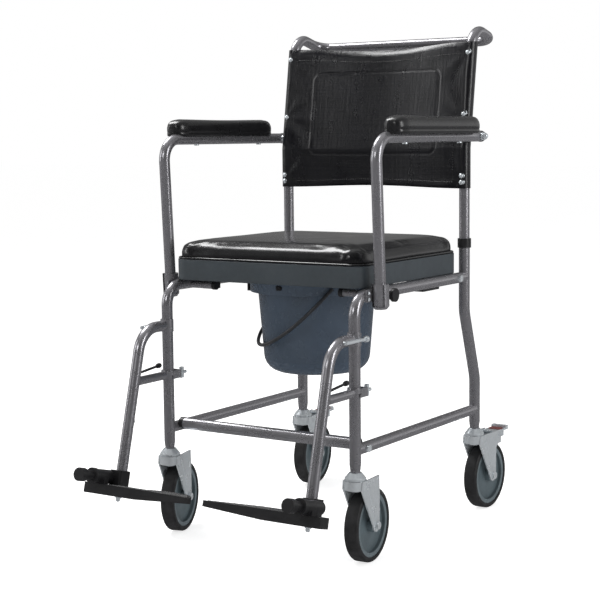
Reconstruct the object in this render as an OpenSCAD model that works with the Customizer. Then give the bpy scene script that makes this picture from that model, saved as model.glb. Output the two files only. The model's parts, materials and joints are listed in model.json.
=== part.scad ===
// Wheeled commode chair: tubular side frames on four castors, lift-off padded seat over a slide-out
// pail, sling backrest on a push frame, lift-up arms and swing-away footrests.
// The origin is on the floor under the centre of the whole envelope. -Y is the front, +Z is up.

/* [Frame] */
// Distance between the left and right frame tubes
track_w = 390; // [380:1:400]
// Distance between the front and rear castor stems
wheelbase = 440; // [430:1:450]
// Height of the upper side rails
rail_z = 454.5; // [450:0.5:458]
// Height of the lower side stays
stay_z = 198; // [190:1:206]
// Outside diameter of the front leg and upper rail tube
side_tube_d = 19.6; // [18:0.2:20]
// Outside diameter of the rear leg tube
rear_tube_d = 20.4; // [20.2:0.2:21]
// Outside diameter of the lower stay tube
stay_d = 19; // [17:0.5:19]
// Outside diameter of the cross tubes
cross_d = 20.6; // [19:0.2:21]
// Wall thickness of every tube
tube_wall = 1.5; // [1.2:0.1:2]

/* [Backrest] */
// Outside diameter of the back and push handle tube
back_tube_d = 19.4; // [18:0.2:20]
// Height of the push bar's centre
push_bar_z = 894; // [885:1:900]
// Lean of the upper backrest from the vertical
back_lean = 8.5; // [6:0.5:11]

/* [Seat] */
// Width of the seat shell
seat_w = 392; // [380:1:396]
// Depth of the seat shell
seat_depth = 356; // [344:1:360]
// Height of the shell's lower edge
seat_base_z = 465; // [465:0.5:468]
// Height of the shell's sides
seat_shell_h = 36.5; // [34:0.5:42]
// Thickness of the padded cushion
cushion_h = 33; // [24:1:36]

/* [Pail] */
// Outside diameter of the pail at the rim flange
pail_rim_d = 241; // [236:1:243]
// Height of the pail
pail_h = 168; // [160:1:172]

/* [Armrests] */
// Sideways distance from the centre line to the arm tubes
arm_x = 219.6; // [219:0.2:222]
// Height of the arm tube
arm_z = 714; // [710:1:718]
// Length of the arm pad
pad_len = 303; // [240:1:306]
// Width of the arm pad
pad_w = 42; // [38:1:46]

/* [Castors] */
// Diameter of the castor wheels
wheel_d = 127; // [120:1:128]
// Width of the castor tyres
tyre_w = 25; // [22:1:26]
// Horizontal distance from swivel axis to axle
castor_trail = 42; // [38:1:44]

/* [Footrests] */
// Outside diameter of the footrest hanger tube
hanger_d = 19; // [18.4:0.2:20]
// Width of each footplate
plate_w = 227; // [210:1:229]
// Depth of each footplate
plate_depth = 80; // [60:1:82]

/* [Hidden] */
$fn = 48;

// Colours
frame_grey = [0.62, 0.63, 0.65];
vinyl_black = [0.07, 0.07, 0.08];
plastic_black = [0.09, 0.09, 0.1];
shell_grey = [0.25, 0.29, 0.31];
pail_blue = [0.3, 0.35, 0.41];
hub_grey = [0.42, 0.48, 0.51];
zinc = [0.75, 0.77, 0.78];

// Clearances: a shaft turning in its hole, and a loose gap between neighbours
running = 0.05;
gap = 0.3;

// How far a straight reaches into the next bend, and how much thicker the bend is
bend_lap = 0.5;
bend_swell = 0.06;

// Fasteners
bolt_d = 6;
arm_bolt_d = 8;
stem_d = 11;

// Main stations, measured from the middle of the wheelbase before the whole is centred
track_x = track_w / 2;
front_y = -wheelbase / 2;
rear_y = wheelbase / 2;
upright_y = rear_y - 43.5;
leg_base_z = 161;
peg_x = 137;
peg_y = -158;
peg_z = 453;
peg_d = 13;
neck_h = 14;
rail_bend_r = 35.5;
rear_bend_r = 60;
rear_bend_a = 18.5;
rear_bend_z = 250;
upright_top_z = 517;
centre_y = 60.8;

// Back frame stations
lean_start_z = 684;
lean_bend_r = 120;
lean_rise = lean_bend_r * sin(back_lean);
handle_heading = 104;
handle_bend_r = 34;
handle_bend_a = handle_heading - back_lean;
handle_run = 20;
corner_bend_r = 32;

// Seat stations
seat_y = -24;
seat_top_z = seat_base_z + seat_shell_h;
seat_corner_r = 28;
aperture_d = 200;

// Pail stations
pail_y = -29;
pail_top_z = 461;
flange_h = 4;
skirt_h = 21;
pail_wall = 2.5;
bail_z = 157;
bail_drop_a = 45;
bail_d = 6.4;
bail_pin_d = 4;
bail_r = 124.5;
bail_straight = 26;
bail_turn = -46;

// Arm stations
arm_pivot_y = lean_y(arm_z);
arm_post_y = front_y + 44.5;
arm_foot_z = 436;
arm_foot_h = 37;
arm_post_d = 19.4;
arm_bend_r = 38;
arm_post_lean = 3;
pad_x = arm_x + 8;
pad_y = -3.5;
pad_base_z = arm_z + 5.5;
pad_h = 31;

// Castor stations
wheel_r = wheel_d / 2;
axle_r = 4;
kingpin_r = 5;
fork_gap = 32;
fork_plate = 2.5;
race_d = 39;
fork_top_z = 148;
brake_pivot = [66, 139];
yaws = [15, 4, 5, -2];

// Footrest stations
leg_clear_r = side_tube_d / 2 + running;
hanger_z = 384.5;
hanger_lean = 14.5;
hanger_bend_r = 50;
hanger_straight = 22;
hanger_len = 208;
clamp_z = 299;
latch_z = 294;
stem_len = 70;
elbow_x = 3;
elbow_w = 27;
elbow_h = 44;
barrel_x = 16;
barrel_t = 13.5;
barrel_r = 12;
pin_r = 5;
nose_n = 27;
ring_n = 60;
neck_n = 80;
knob_len = 13;
tread_start = 13.5;
tread_t = 26;
heel_end = 130;
inner_cut = 58;

// ---------- helpers ----------

// Centres the whole envelope over the origin
module placed() {
    translate([0, centre_y, 0])
        children();
}

// Builds a right-hand shape on either side
module on_side(side) {
    mirror([side < 0 ? 1 : 0, 0, 0])
        children();
}

// A round bar along straight and bent lengths; each step is [length, bend radius, bend angle, roll].
// It starts along +Z and each bend turns towards the rolled +Y. A bend is a hair thicker than the
// straights, which reach a little way into it.
module run(steps, d, i = 0) {
    if (i < len(steps)) {
        length = steps[i][0];
        radius = steps[i][1];
        angle = steps[i][2];
        before = i > 0 ? bend_lap : 0;
        after = angle > 0 ? bend_lap : 0;
        rotate([0, 0, steps[i][3]]) {
            translate([0, 0, -before])
                cylinder(d = d, h = length + before + after);
            translate([0, 0, length]) {
                if (angle > 0)
                    translate([0, radius, 0])
                        rotate([90, 0, -90])
                            rotate_extrude(angle = angle)
                                translate([radius, 0])
                                    circle(d = d + bend_swell);
                translate([0, radius * (1 - cos(angle)), radius * sin(angle)])
                    rotate([-angle, 0, 0])
                        run(steps, d, i + 1);
            }
        }
    }
}

// A cylinder along +X, +Y, starting at the given point
module rod_x(p, d, h) {
    translate(p)
        rotate([0, 90, 0])
            cylinder(d = d, h = h);
}

module rod_y(p, d, h) {
    translate(p)
        rotate([-90, 0, 0])
            cylinder(d = d, h = h);
}

// A box from its lowest corner to its highest corner
module block(low, high) {
    translate(low)
        cube(high - low);
}

// A flat rectangle with round corners, centred
module round_rect(w, l, r) {
    square([w - 2 * r, l], center = true);
    square([w, l - 2 * r], center = true);
    for (x = [-1, 1], y = [-1, 1])
        translate([x * (w / 2 - r), y * (l / 2 - r)])
            circle(r = r);
}

// ---------- side frames ----------

front_leg_steps = [
    [rail_z - rail_bend_r - leg_base_z - neck_h, rail_bend_r, 90, 0],
    [upright_y - front_y - rail_bend_r, 0, 0, 0]
];
rear_slant_len = (rear_y - upright_y - 2 * rear_bend_r * (1 - cos(rear_bend_a))) / sin(rear_bend_a);
rear_rise = 2 * rear_bend_r * sin(rear_bend_a) + rear_slant_len * cos(rear_bend_a);
rear_leg_steps = [
    [rear_bend_z - leg_base_z - neck_h, rear_bend_r, rear_bend_a, 180],
    [rear_slant_len, rear_bend_r, rear_bend_a, 180],
    [upright_top_z - rear_bend_z - rear_rise, 0, 0, 0]
];
front_bore_steps = [
    front_leg_steps[0],
    [front_leg_steps[1][0] - rear_tube_d / 2 - 0.5, 0, 0, 0]
];

// The narrowed foot that grips a castor stem
module leg_neck(d) {
    translate([0, 0, leg_base_z])
        cylinder(d1 = d - 3.4, d2 = d, h = neck_h);
}

module side_frame(side) {
    base = leg_base_z + neck_h;
    stay_inset = rear_tube_d / 2 + 0.5;
    color(frame_grey)
        on_side(side)
            translate([track_x, 0, 0])
                difference() {
                    union() {
                        translate([0, front_y, base])
                            run(front_leg_steps, side_tube_d);
                        translate([0, rear_y, base])
                            run(rear_leg_steps, rear_tube_d);
                        rod_y([0, front_y, stay_z], stay_d, wheelbase);
                        rod_x([peg_x - track_x, peg_y, peg_z], peg_d, track_x - peg_x);
                        translate([0, front_y, 0])
                            leg_neck(side_tube_d);
                        translate([0, rear_y, 0])
                            leg_neck(rear_tube_d);
                    }
                    translate([0, front_y, base])
                        run(front_bore_steps, side_tube_d - 2 * tube_wall);
                    translate([0, rear_y, base])
                        run(rear_leg_steps, rear_tube_d - 2 * tube_wall);
                    rod_y([0, front_y + stay_inset, stay_z], stay_d - 2 * tube_wall,
                          wheelbase - 2 * stay_inset);
                    for (y = [front_y, rear_y])
                        translate([0, y, leg_base_z])
                            cylinder(d = stem_d, h = neck_h);
                    // Bolt holes of the two cross tubes
                    rod_x([-15, cross_front_y, stay_z], bolt_d + 2 * running, 30);
                    rod_x([-15, cross_rear_y, rail_z], bolt_d + 2 * running, 30);
                }
}

// ---------- cross tubes ----------

cross_front_y = front_y + 26;
cross_rear_y = 140;
ring_len = 1.5;
ring_inset = 5;
cross_half = track_x - side_tube_d / 2 - ring_inset;

// The two cross tubes as [y, bolt height, side tube diameter, height of the tube above its bolts]
cross_places = [[cross_front_y, stay_z, stay_d, 5.5], [cross_rear_y, rail_z, side_tube_d, 0]];

// A cross tube has a solid threaded plug at each end
module cross_tube(place) {
    plug_len = 22;
    color(frame_grey)
        difference() {
            rod_x([-cross_half, place[0], place[1] + place[3]], cross_d, 2 * cross_half);
            rod_x([plug_len - cross_half, place[0], place[1] + place[3]], cross_d - 2 * tube_wall,
                  2 * (cross_half - plug_len));
            for (side = [-1, 1])
                rod_x([side * (cross_half - plug_len / 2) - plug_len / 2, place[0], place[1]],
                      bolt_d, plug_len);
        }
}

// Saddle rings between the tube ends and the side tubes
module cross_tube_rings() {
    color(plastic_black)
        for (place = cross_places, side = [-1, 1])
            on_side(side)
                difference() {
                    rod_x([cross_half - ring_len, place[0], place[1] + place[3]], cross_d + 1.4,
                          ring_len + ring_inset + 2);
                    rod_x([cross_half - ring_len, place[0], place[1] + place[3]], cross_d, ring_len);
                    rod_x([cross_half, place[0], place[1]], bolt_d + 2 * running, 20);
                    rod_y([track_x, place[0] - 30, place[1]], place[2] + 0.02, 60);
                }
}

module cross_tube_bolts() {
    color(zinc)
        for (place = cross_places, side = [-1, 1])
            on_side(side) {
                outer = track_x + place[2] / 2;
                rod_x([cross_half - 16, place[0], place[1]], bolt_d, outer + 16 - cross_half);
                rod_x([outer - 0.6, place[0], place[1]], 12, 4.2);
            }
}

// ---------- back frame ----------

spigot_len = 45;
// Rise of the handle bend, and the droop from its end to the push bar
handle_rise = handle_bend_r * (sin(handle_heading) - sin(back_lean));
handle_droop = -(handle_run + corner_bend_r) * cos(handle_heading);
lean_len = (push_bar_z + handle_droop - handle_rise - lean_start_z - lean_rise) / cos(back_lean);
bar_half = track_x - corner_bend_r;
bar_y = upright_y + lean_bend_r * (1 - cos(back_lean)) + lean_len * sin(back_lean)
    + handle_bend_r * (cos(back_lean) - cos(handle_heading))
    + (handle_run + corner_bend_r) * sin(handle_heading);
back_steps = [
    [lean_start_z - upright_top_z, lean_bend_r, back_lean, 0],
    [lean_len, handle_bend_r, handle_bend_a, 0],
    [handle_run, 0, 0, 90],
    [0, corner_bend_r, 90, 0]
];

// Back tube: up each side, over the handle bends and across the push bar
module back_run(d) {
    for (side = [-1, 1])
        on_side(side)
            translate([track_x, upright_y, upright_top_z])
                run(back_steps, d);
    rod_x([-bar_half - bend_lap, bar_y, push_bar_z], d, 2 * (bar_half + bend_lap));
}

module back_frame() {
    spigot_d = rear_tube_d - 2 * tube_wall - 0.1;
    color(frame_grey)
        difference() {
            union() {
                back_run(back_tube_d);
                for (side = [-1, 1])
                    translate([side * track_x, upright_y, upright_top_z - spigot_len])
                        cylinder(d = spigot_d, h = spigot_len + 1);
            }
            back_run(back_tube_d - 2 * tube_wall);
            for (side = [-1, 1]) {
                translate([side * track_x, upright_y, upright_top_z - spigot_len])
                    cylinder(d = spigot_d - 2 * tube_wall, h = spigot_len + 1);
                rod_x([side * track_x - 15, arm_pivot_y, arm_z], arm_bolt_d + 2 * running, 30);
            }
        }
}

module upright_collars() {
    color(plastic_black)
        for (side = [-1, 1])
            on_side(side)
                translate([track_x, upright_y, upright_top_z - 8])
                    difference() {
                        cylinder(d = rear_tube_d + 4.6, h = 17);
                        cylinder(d = rear_tube_d, h = 8);
                        translate([0, 0, 8])
                            cylinder(d = back_tube_d, h = 9);
                    }
}

// ---------- backrest ----------

sling_low_z = 618;
sling_high_z = 888;
sling_half_w = 204;
sling_t = 4;

// Distance of the back tube's axis behind the upright at height z
function lean_y(z) = upright_y
    + (z < lean_start_z + lean_rise / 2 ? 0 : (z - lean_start_z - lean_rise / 2) * tan(back_lean));

// One level of the sling: a shallow trough between the tubes
module sling_level(z) {
    front = lean_y(z) - back_tube_d / 2 - sling_t - gap;
    for (side = [-1, 1])
        translate([side * (sling_half_w - 10), front, z])
            translate([-10, 0, 0])
                cube([20, sling_t, 1]);
}

module backrest_sling() {
    levels = [sling_low_z, lean_start_z + lean_rise / 2, sling_high_z - 1];
    color(vinyl_black)
        for (i = [0 : len(levels) - 2])
            hull() {
                sling_level(levels[i]);
                sling_level(levels[i + 1]);
            }
}

screw_levels = [630, 642, 755, 868];

module backrest_screws() {
    color(zinc)
        for (side = [-1, 1], z = screw_levels)
            on_side(side)
                translate([track_x, lean_y(z) - back_tube_d / 2 - sling_t - gap, z])
                    rotate([z > lean_start_z ? 90 - back_lean : 90, 0, 0])
                        dome_head(9, 3);
}

// A domed screw head that rises along +Z from its flat base
module dome_head(d, h) {
    ball_r = (d * d / 4 + h * h) / (2 * h);
    intersection() {
        translate([0, 0, h - ball_r])
            sphere(r = ball_r);
        cylinder(d = d + 1, h = h + 1);
    }
}

// ---------- arms ----------

arm_foot_r = arm_post_d / 2 + 2;
socket_r = 14.4;

arm_rise = arm_z - arm_foot_z;

// Post, front bend and level arm; the post leans forward as it rises
arm_bend_a = 90 + arm_post_lean;
arm_bend_depth = arm_bend_r * (1 - cos(arm_bend_a));
arm_bend_rise = arm_bend_r * sin(arm_bend_a);
arm_post_len = (arm_rise - arm_bend_depth * sin(arm_post_lean)) / cos(arm_post_lean)
    - arm_bend_rise;
arm_bend_y = arm_post_y + arm_bend_depth * cos(arm_post_lean)
    - (arm_post_len + arm_bend_rise) * sin(arm_post_lean);
arm_end_y = arm_pivot_y + 11;
arm_steps = [
    [arm_post_len, arm_bend_r, arm_bend_a, 0],
    [arm_end_y - arm_bend_y, 0, 0, 0]
];

module arm_run(d) {
    translate([arm_x, arm_post_y, arm_foot_z])
        rotate([arm_post_lean, 0, 0])
            run(arm_steps, d);
}

module arm_tube(side) {
    color(frame_grey)
        on_side(side)
            difference() {
                union() {
                    arm_run(arm_post_d);
                    translate([arm_x, arm_post_y, arm_foot_z])
                        rotate([arm_post_lean, 0, 0])
                            cylinder(r = arm_foot_r, h = arm_foot_h);
                }
                arm_run(arm_post_d - 2 * tube_wall);
                rod_x([arm_x - 15, arm_pivot_y, arm_z], arm_bolt_d + 2 * running, 30);
                for (y = pad_screw_ys)
                    translate([arm_x, y, arm_z - 15])
                        cylinder(d = 5.1, h = 15);
                for (y = pad_screw_ys)
                    translate([arm_x, y, arm_z])
                        cylinder(d = 5.1, h = 15);
            }
}

pad_screw_ys = [-92, 108];

// Round-ended pad, grooved underneath where it sits on the tube
module arm_pad(side) {
    color(vinyl_black)
        on_side(side)
            difference() {
                translate([pad_x, pad_y, pad_base_z]) {
                    linear_extrude(pad_h - 6)
                        round_rect(pad_w, pad_len, 18);
                    translate([0, 0, pad_h - 6])
                        linear_extrude(6)
                            round_rect(pad_w - 8, pad_len - 8, 14);
                }
                arm_run(arm_post_d + 0.02);
                for (y = pad_screw_ys)
                    translate([arm_x, y, arm_z])
                        cylinder(d = 5, h = 22);
            }
}

module arm_pad_screws(side) {
    color(zinc)
        on_side(side)
            for (y = pad_screw_ys) {
                translate([arm_x, y, arm_z - arm_post_d / 2 - 2])
                    cylinder(d = 9, h = 2.6);
                translate([arm_x, y, arm_z - arm_post_d / 2 - 1])
                    cylinder(d = 5, h = 30);
            }
}

module arm_end_cap(side) {
    color(plastic_black)
        on_side(side) {
            rod_y([arm_x, arm_end_y, arm_z], arm_post_d + 1.2, 4);
            rod_y([arm_x, arm_end_y - 4, arm_z], arm_post_d - 2 * tube_wall, 5);
        }
}

// Shouldered bolt, spacer and domed nut that carry each arm
module arm_pivot_bolts() {
    spacer_start = track_x + back_tube_d / 2;
    arm_inner = arm_x - arm_post_d / 2;
    arm_outer = arm_x + arm_post_d / 2;
    color(zinc)
        for (side = [-1, 1])
            on_side(side) {
                rod_x([track_x - back_tube_d / 2 - 4, arm_pivot_y, arm_z], arm_bolt_d,
                      arm_outer + 10 - track_x + back_tube_d / 2 + 4);
                rod_x([track_x - back_tube_d / 2 - 4.5, arm_pivot_y, arm_z], 13, 4.5);
                rod_x([spacer_start, arm_pivot_y, arm_z], 12, arm_inner - spacer_start - gap);
                rod_x([arm_outer + gap, arm_pivot_y, arm_z], 15, 1.5);
                rod_x([arm_outer + gap + 1.5, arm_pivot_y, arm_z], 13, 5);
                translate([arm_outer + gap + 6.5, arm_pivot_y, arm_z])
                    rotate([0, 90, 0])
                        dome_head(11, 5);
            }
}

// ---------- arm sockets and locks ----------

lock_z = 452;
lock_pin_r = 4;

// Places children at the foot of an arm post, along its lean
module at_arm_foot() {
    translate([arm_x, arm_post_y, arm_foot_z])
        rotate([arm_post_lean, 0, 0])
            children();
}

// Open-fronted round socket on a plate outside the rail, with a guide behind it for the lock bolt
module arm_sockets() {
    color(frame_grey)
        for (side = [-1, 1])
            on_side(side)
                difference() {
                    union() {
                        at_arm_foot() {
                            cylinder(r = socket_r, h = arm_foot_h);
                            translate([0, 0, -5])
                                cylinder(r1 = socket_r - 4, r2 = socket_r, h = 5.01);
                        }
                        block([track_x, arm_post_y - 26, rail_z - 11],
                              [arm_x - 10, arm_post_y + 14, rail_z + 9]);
                        block([arm_x - 6, arm_post_y + 8, lock_z - 7],
                              [arm_x + 5, arm_post_y + 24, lock_z + 7]);
                    }
                    at_arm_foot() {
                        translate([0, 0, -gap])
                            cylinder(r = arm_foot_r + gap, h = arm_foot_h + 2);
                        block([-arm_foot_r - gap, -socket_r - 20, -gap],
                              [arm_foot_r + gap, 0, arm_foot_h + 2]);
                    }
                    rod_y([track_x, -wheelbase, rail_z], side_tube_d + 0.02, 2 * wheelbase);
                    block([track_x - 1, arm_post_y - 40, rail_z - 20],
                          [track_x + side_tube_d / 2 + 0.2, arm_post_y + 30, rail_z + 20]);
                    rod_y([arm_x, arm_post_y + 8, lock_z], 2 * (lock_pin_r + running), 20);
                }
}

// Domed rivets that hold the socket's plate to the rail
module socket_rivets() {
    color(zinc)
        for (side = [-1, 1], place = [[-21, 4], [-21, -6]])
            on_side(side)
                translate([arm_x - 10.4, arm_post_y + place[0], rail_z + place[1]])
                    rotate([0, 90, 0])
                        dome_head(6.4, 2.4);
}

// Spring bolt with a round pull knob
module arm_lock(side) {
    tip_y = arm_post_y + 12;
    stem_y = arm_post_y + 30.5;
    color(plastic_black)
        on_side(side) {
            rod_y([arm_x, tip_y, lock_z], 2 * lock_pin_r, stem_y - tip_y);
            rod_x([arm_x - 5.5, stem_y, lock_z], 11, 12);
            rod_x([arm_x + 5.5, stem_y, lock_z], 23, 6);
        }
}

// ---------- seat ----------

module seat_shell() {
    wall = 3;
    top = 4;
    color(shell_grey)
        translate([0, seat_y, seat_base_z])
            difference() {
                linear_extrude(seat_shell_h)
                    round_rect(seat_w, seat_depth, seat_corner_r);
                difference() {
                    translate([0, 0, -1])
                        linear_extrude(seat_shell_h - top + 1)
                            round_rect(seat_w - 2 * wall, seat_depth - 2 * wall, seat_corner_r - wall);
                    // Ribs that carry the pail runners
                    for (side = [-1, 1])
                        translate([side * runner_x, 0, seat_shell_h / 2])
                            cube([5, seat_depth, seat_shell_h], center = true);
                    // Collar round the aperture
                    translate([0, pail_y - seat_y, seat_shell_h - 16])
                        cylinder(d = aperture_d + 2 * wall, h = 16);
                }
                translate([0, pail_y - seat_y, -2])
                    cylinder(d = aperture_d, h = seat_shell_h + 4);
                // Groove where the walls and ribs pass over the rear cross tube
                rod_x([-seat_w, cross_rear_y - seat_y, rail_z - seat_base_z],
                      cross_d + 1.4 + 2 * gap, 2 * seat_w);
            }
}

runner_x = 125;

// Clips that seat the shell on the rails, as [y, length]
clip_places = [[-102, 22], [47, 60]];

module seat_clips() {
    color(plastic_black) {
        // Caps on the ends of the front pegs
        for (side = [-1, 1])
            on_side(side)
                rod_x([peg_x - 7, peg_y, peg_z], peg_d + 3, 7);
        for (place = clip_places, side = [-1, 1])
            on_side(side)
                difference() {
                    block([171, place[0] - place[1] / 2, rail_z - 14],
                          [track_x, place[0] + place[1] / 2, seat_base_z]);
                    rod_y([track_x, place[0] - 50, rail_z], side_tube_d + 0.02, 100);
                }
    }
}

// L-section runners under the shell that hold the pail's flange
module pail_runners() {
    lip_z = pail_top_z - skirt_h - 0.2;
    color(plastic_black)
        for (side = [-1, 1])
            on_side(side) {
                block([runner_x - 2.5, -68, lip_z - 4], [runner_x + 1.5, 25, seat_base_z]);
                block([runner_x - 15, -68, lip_z - 4], [runner_x + 1.5, 25, lip_z]);
            }
}

// Closed stand-in for the padded vinyl cushion
module seat_cushion() {
    edge = 8;
    base = seat_top_z + gap;
    color(vinyl_black)
        translate([0, seat_y, base]) {
            linear_extrude(cushion_h - edge)
                round_rect(seat_w - 2, seat_depth - 2, seat_corner_r);
            translate([0, 0, cushion_h - edge])
                linear_extrude(edge)
                    round_rect(seat_w - 2 - edge, seat_depth - 2 - edge, seat_corner_r - edge / 2);
        }
}

// ---------- pail ----------

pail_foot_r = 65;
pail_corner_r = 32;

// Outline of the pail's outside or inside, from the axis out to the rim
function pail_profile(t) = concat(
    [[0, t]],
    [for (a = [-90 : 15 : 0])
        [pail_foot_r + (pail_corner_r - t) * cos(a), pail_corner_r + (pail_corner_r - t) * sin(a)]],
    [[108 - t, pail_h + (t > 0 ? 1 : 0)], [0, pail_h + (t > 0 ? 1 : 0)]]
);

module pail() {
    color(pail_blue)
        translate([0, pail_y, pail_top_z - pail_h])
            difference() {
                union() {
                    rotate_extrude()
                        polygon(pail_profile(0));
                    // Rim flange with a turned-down skirt
                    translate([0, 0, pail_h - flange_h])
                        cylinder(d = pail_rim_d, h = flange_h);
                    translate([0, 0, pail_h - skirt_h])
                        difference() {
                            cylinder(d = pail_rim_d, h = skirt_h);
                            translate([0, 0, -1])
                                cylinder(d = pail_rim_d - 2 * pail_wall, h = skirt_h);
                        }
                    // Lugs for the handle
                    rotate([0, 0, bail_turn])
                        for (side = [-1, 1])
                            on_side(side)
                                block([96, -7, bail_z - 7], [pail_rim_d / 2 - 1, 7, pail_h - 1]);
                }
                rotate_extrude()
                    polygon(pail_profile(pail_wall));
                rotate([0, 0, bail_turn])
                    for (side = [-1, 1])
                        on_side(side)
                            rod_x([109, 0, bail_z], bail_pin_d + 2 * running, 15);
            }
}

// Bail that hangs against the front of the pail, on two pins through the rim
module pail_handle() {
    color(pail_blue)
        translate([0, pail_y, pail_top_z - pail_h + bail_z])
            rotate([0, 0, bail_turn])
                rotate([90 + bail_drop_a, 0, 0]) {
                    translate([0, 0, bail_straight])
                        rotate([90, 0, 0])
                            rotate_extrude(angle = 180)
                                translate([bail_r, 0])
                                    circle(d = bail_d + bend_swell);
                    for (side = [-1, 1])
                        on_side(side) {
                            translate([bail_r, 0, -4])
                                cylinder(d = bail_d, h = bail_straight + 4 + bend_lap);
                            rod_x([bail_r - 14.5, 0, 0], bail_pin_d, 14);
                        }
                }
}

// ---------- castors ----------

// Corners as [x sign, y, yaw], in the order front left, front right, rear left, rear right
corners = [
    [-1, front_y, yaws[0]], [1, front_y, yaws[1]],
    [-1, rear_y, yaws[2]], [1, rear_y, yaws[3]]
];

module at_corner(i) {
    translate([corners[i][0] * track_x, corners[i][1], 0])
        rotate([0, 0, corners[i][2]])
            children();
}

// Stem, upper race and kingpin, fixed in the leg
module castor_stems() {
    color(zinc)
        for (i = [0 : 3])
            at_corner(i) {
                translate([0, 0, fork_top_z + gap + 2])
                    cylinder(d = stem_d, h = 48);
                translate([0, 0, fork_top_z + gap])
                    cylinder(d = race_d - 3, h = 4);
                translate([0, 0, fork_top_z + gap + 4])
                    cylinder(d1 = race_d - 3, d2 = 22, h = leg_base_z - fork_top_z - gap - 4);
                translate([0, 0, fork_top_z - 16])
                    cylinder(r = kingpin_r, h = 20);
                translate([0, 0, fork_top_z - 19])
                    cylinder(r = 8, h = 3.4);
            }
}

// Outline of a fork side: a wide head that narrows down to the axle
module fork_side(brake) {
    rear = brake ? brake_pivot[0] + 7 : castor_trail + 11;
    difference() {
        union() {
            polygon([
                [-10, fork_top_z], [rear, fork_top_z], [rear, fork_top_z - 16], [castor_trail + 12, 116],
                [castor_trail + 11, wheel_r], [castor_trail - 11, wheel_r - 2], [-12, 134]
            ]);
            translate([castor_trail, wheel_r])
                circle(r = 11);
        }
        translate([castor_trail, wheel_r])
            circle(r = axle_r + running);
        if (brake)
            translate(brake_pivot)
                circle(r = 2.5 + running);
    }
}

// Pressed fork: two sides joined by the head under the race
module castor_fork(i, brake) {
    outer = fork_gap / 2 + fork_plate;
    color(zinc)
        at_corner(i)
            difference() {
                union() {
                    for (x = [-outer, outer - fork_plate])
                        translate([x, 0, 0])
                            rotate([90, 0, 90])
                                linear_extrude(fork_plate)
                                    fork_side(brake);
                    block([-outer, -10, fork_top_z - 15.3], [outer, 46, fork_top_z - 12.3]);
                    translate([0, 0, fork_top_z - 15.3])
                        cylinder(d = race_d, h = 15.3);
                }
                translate([0, 0, fork_top_z - 16])
                    cylinder(r = kingpin_r + running, h = 17);
            }
}

module castor_axle(i) {
    outer = fork_gap / 2 + fork_plate;
    color(zinc)
        at_corner(i)
            translate([0, castor_trail, wheel_r]) {
                rod_x([-outer - 3, 0, 0], 2 * axle_r, 2 * outer + 6);
                rod_x([outer, 0, 0], 13, 5);
                translate([-outer - 5, 0, 0])
                    rotate([0, 90, 0])
                        cylinder(d = 14.6, h = 5, $fn = 6);
            }
}

rim_r = 55;
disc_r = 47;

module castor_hub(i) {
    color(hub_grey)
        at_corner(i)
            translate([0, castor_trail, wheel_r])
                difference() {
                    union() {
                        difference() {
                            rod_x([-tyre_w / 2 + 1.5, 0, 0], 2 * rim_r, tyre_w - 3);
                            for (x = [-tyre_w / 2 + 1, 5])
                                rod_x([x, 0, 0], 2 * disc_r, tyre_w / 2 - 6);
                        }
                        rod_x([-fork_gap / 2 + gap, 0, 0], 24, fork_gap - 2 * gap);
                    }
                    rod_x([-fork_gap, 0, 0], 2 * (axle_r + running), 2 * fork_gap);
                }
}

// Tyre ring with rounded shoulders
module castor_tyre(i) {
    shoulder = 4;
    color(plastic_black)
        at_corner(i)
            translate([0, castor_trail, wheel_r])
                rotate([0, 90, 0])
                    rotate_extrude($fn = 96) {
                        translate([rim_r, -tyre_w / 2])
                            square([wheel_r - rim_r - shoulder, tyre_w]);
                        translate([rim_r, -tyre_w / 2 + shoulder])
                            square([wheel_r - rim_r, tyre_w - 2 * shoulder]);
                        for (z = [-1, 1])
                            translate([wheel_r - shoulder, z * (tyre_w / 2 - shoulder)])
                                circle(r = shoulder);
                    }
}

// Foot pedal with a brake shoe over the tyre, on a cross pin through the fork
module brake_pedal(i) {
    half = fork_gap / 2 - gap;
    end = half + fork_plate + 2;
    color(zinc)
        at_corner(i)
            translate([0, brake_pivot[0], brake_pivot[1]]) {
                rod_x([-end, 0, 0], 5, 2 * end);
                block([-half, -8, 4], [half, 42, 7]);
                block([-half, 32, 4], [half, 42, 12]);
                for (x = [-half, half - 2])
                    block([x, -6, -6], [x + 2, 24, 7]);
                block([-10, 12, -20], [10, 24, 5]);
            }
}

// ---------- footrests ----------

hanger_steps = [
    [hanger_straight, hanger_bend_r, 90 - hanger_lean, 0],
    [hanger_len, 0, 0, 0]
];

// Places children at the top of the hanger tube, heading forward
module at_hanger_top() {
    translate([track_x, front_y - leg_clear_r - 2, hanger_z])
        rotate([90, 0, 0])
            rotate([0, 0, 180])
                children();
}

module hanger_run(d) {
    at_hanger_top()
        run(hanger_steps, d);
}

// Places children at the lower end of the hanger tube, heading down the tube
module at_hanger_end() {
    bend = 90 - hanger_lean;
    at_hanger_top()
        translate([0, 0, hanger_steps[0][0]])
            translate([0, hanger_bend_r * (1 - cos(bend)), hanger_bend_r * sin(bend)])
                rotate([-bend, 0, 0])
                    translate([0, 0, hanger_steps[1][0]])
                        children();
}

// Half ring that bears on the front of the leg
module leg_saddle(h, thick) {
    difference() {
        cylinder(r = leg_clear_r + thick, h = h);
        translate([0, 0, -1])
            cylinder(r = leg_clear_r, h = h + 2);
        block([-50, 2, -1], [50, 50, h + 1]);
    }
}

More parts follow.
